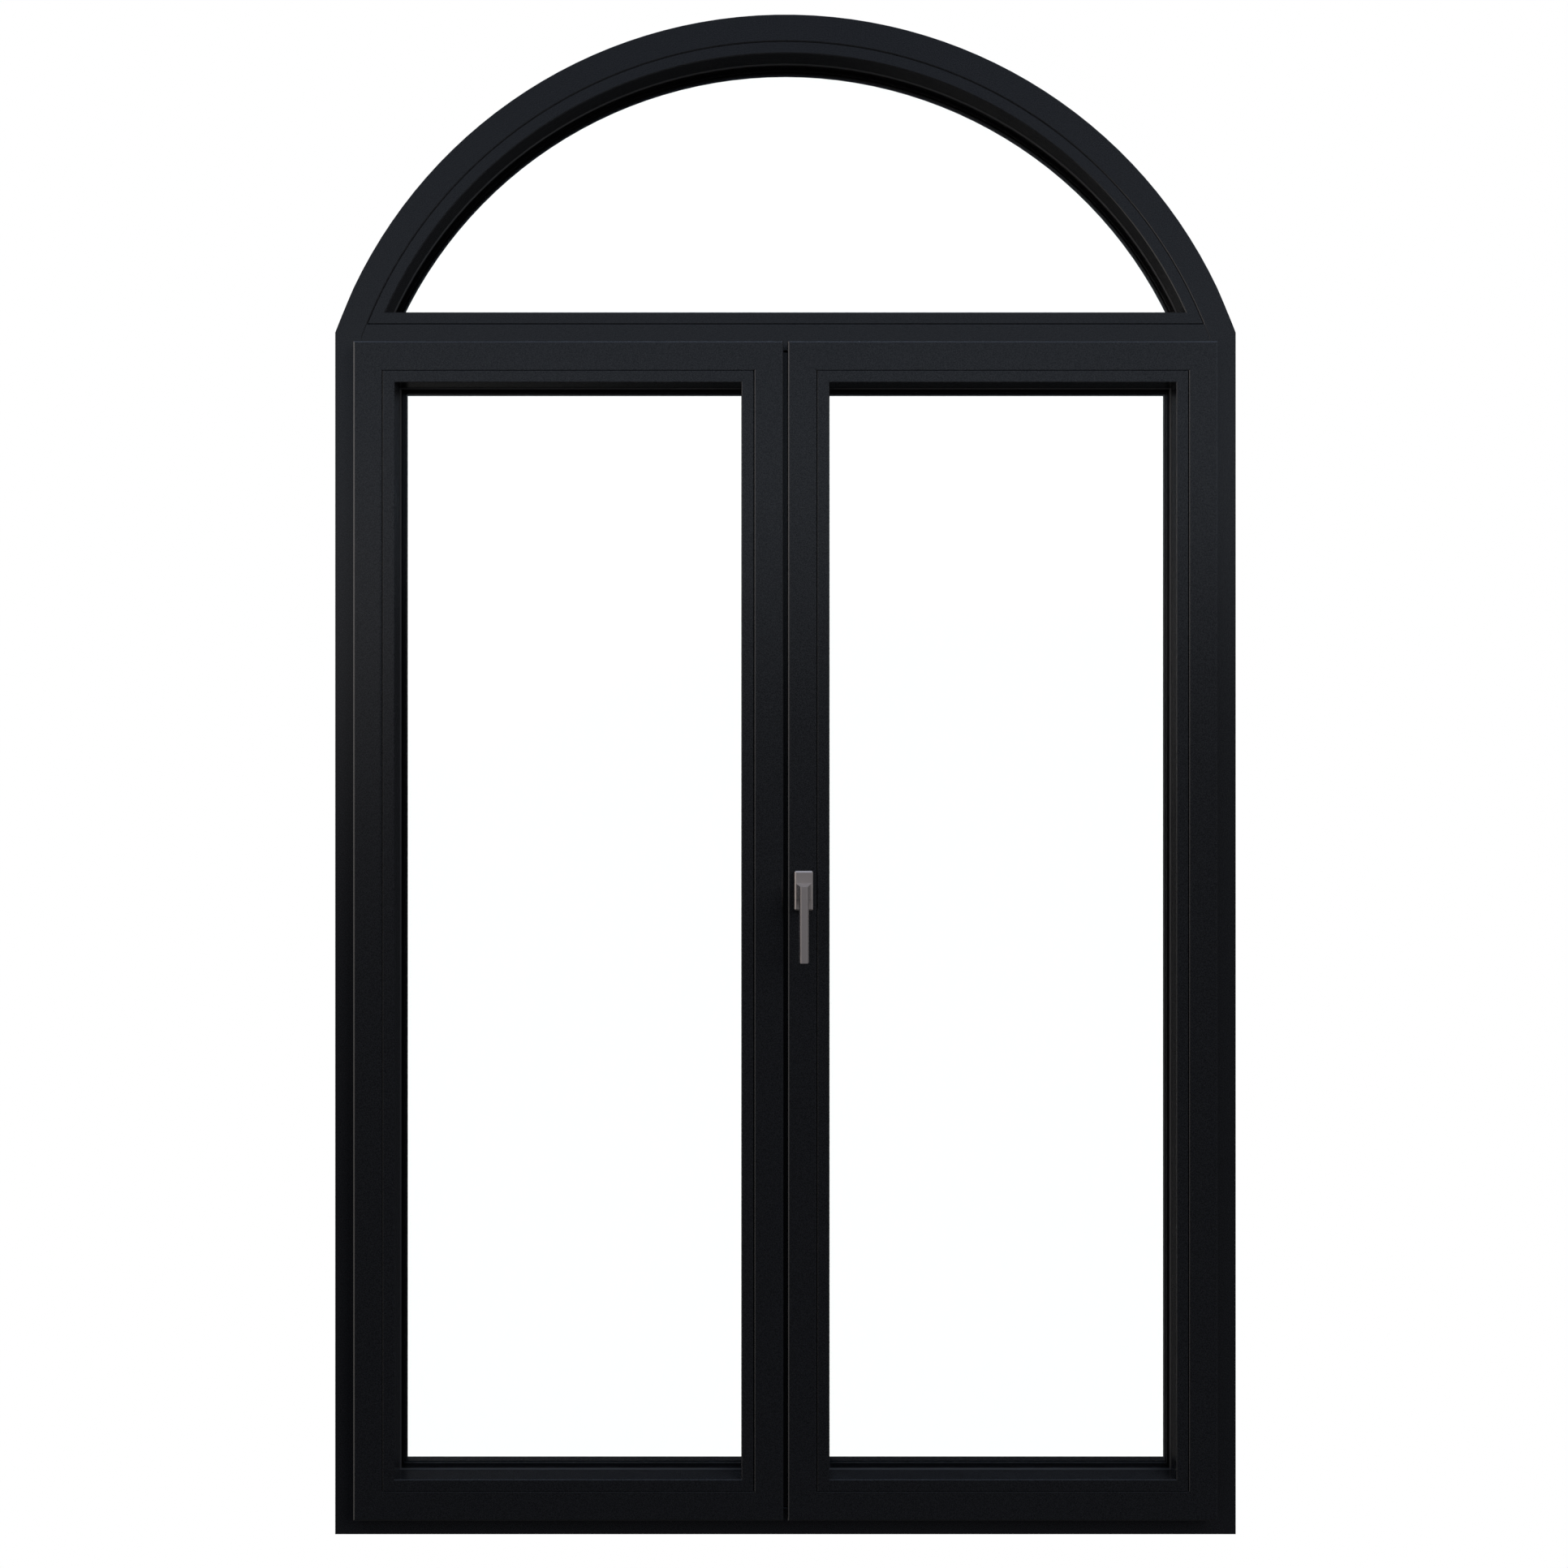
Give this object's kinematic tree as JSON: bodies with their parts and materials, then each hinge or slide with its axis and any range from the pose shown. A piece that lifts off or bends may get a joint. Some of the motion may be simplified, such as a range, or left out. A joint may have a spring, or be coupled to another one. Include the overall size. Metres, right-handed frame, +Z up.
{
  "type": "arched top window frame",
  "caption": "Tall double casement window with a fixed arched fanlight over a transom, dark matt frame, glazing beads and a lever handle.",
  "frame": {"origin": "middle of the sill's underside, halfway through the frame's depth", "axes": "+X to the right as seen from the room, +Y from the room to the outside, +Z up"},
  "size_m": [1.6, 0.166, 2.6998],
  "materials": {
    "frame_profile": "matt anthracite with a fine sand grain",
    "leaf_profile": "matt anthracite with a fine sand grain",
    "bead_profile": "matt anthracite with a fine sand grain",
    "rubber_seal": "black extruded gasket",
    "glass_spacer": "black warm-edge spacer",
    "glass": "clear",
    "handle_metal": "satin warm grey metal"
  },
  "bodies": {
    "root": {"frame_sill": "frame_profile", "frame_jamb_left": "frame_profile", "frame_jamb_right": "frame_profile", "frame_head_arched": "frame_profile", "frame_transom": "frame_profile", "fanlight_bead_arched": "bead_profile", "fanlight_bead_bottom": "bead_profile", "fanlight_glass": "glass", "fanlight_glass_spacer": "glass_spacer", "fanlight_gasket_inner": "rubber_seal", "fanlight_gasket_outer": "rubber_seal", "left_leaf_hinge_stile": "leaf_profile", "left_leaf_meeting_stile": "leaf_profile", "left_leaf_bottom_rail": "leaf_profile", "left_leaf_top_rail": "leaf_profile", "left_leaf_bead_hinge_side": "bead_profile", "left_leaf_bead_meeting_side": "bead_profile", "left_leaf_bead_bottom": "bead_profile", "left_leaf_bead_top": "bead_profile", "left_leaf_glass": "glass", "left_leaf_glass_spacer": "glass_spacer", "left_leaf_gasket_inner": "rubber_seal", "left_leaf_gasket_outer": "rubber_seal", "left_leaf_room_seal": "rubber_seal", "left_leaf_weather_seal": "rubber_seal", "right_leaf_hinge_stile": "leaf_profile", "right_leaf_meeting_stile": "leaf_profile", "right_leaf_bottom_rail": "leaf_profile", "right_leaf_top_rail": "leaf_profile", "right_leaf_bead_hinge_side": "bead_profile", "right_leaf_bead_meeting_side": "bead_profile", "right_leaf_bead_bottom": "bead_profile", "right_leaf_bead_top": "bead_profile", "right_leaf_glass": "glass", "right_leaf_glass_spacer": "glass_spacer", "right_leaf_gasket_inner": "rubber_seal", "right_leaf_gasket_outer": "rubber_seal", "right_leaf_room_seal": "rubber_seal", "right_leaf_weather_seal": "rubber_seal", "meeting_post": "leaf_profile", "handle_rosette": "handle_metal", "handle_lever": "handle_metal"}
  },
  "joints": []
}
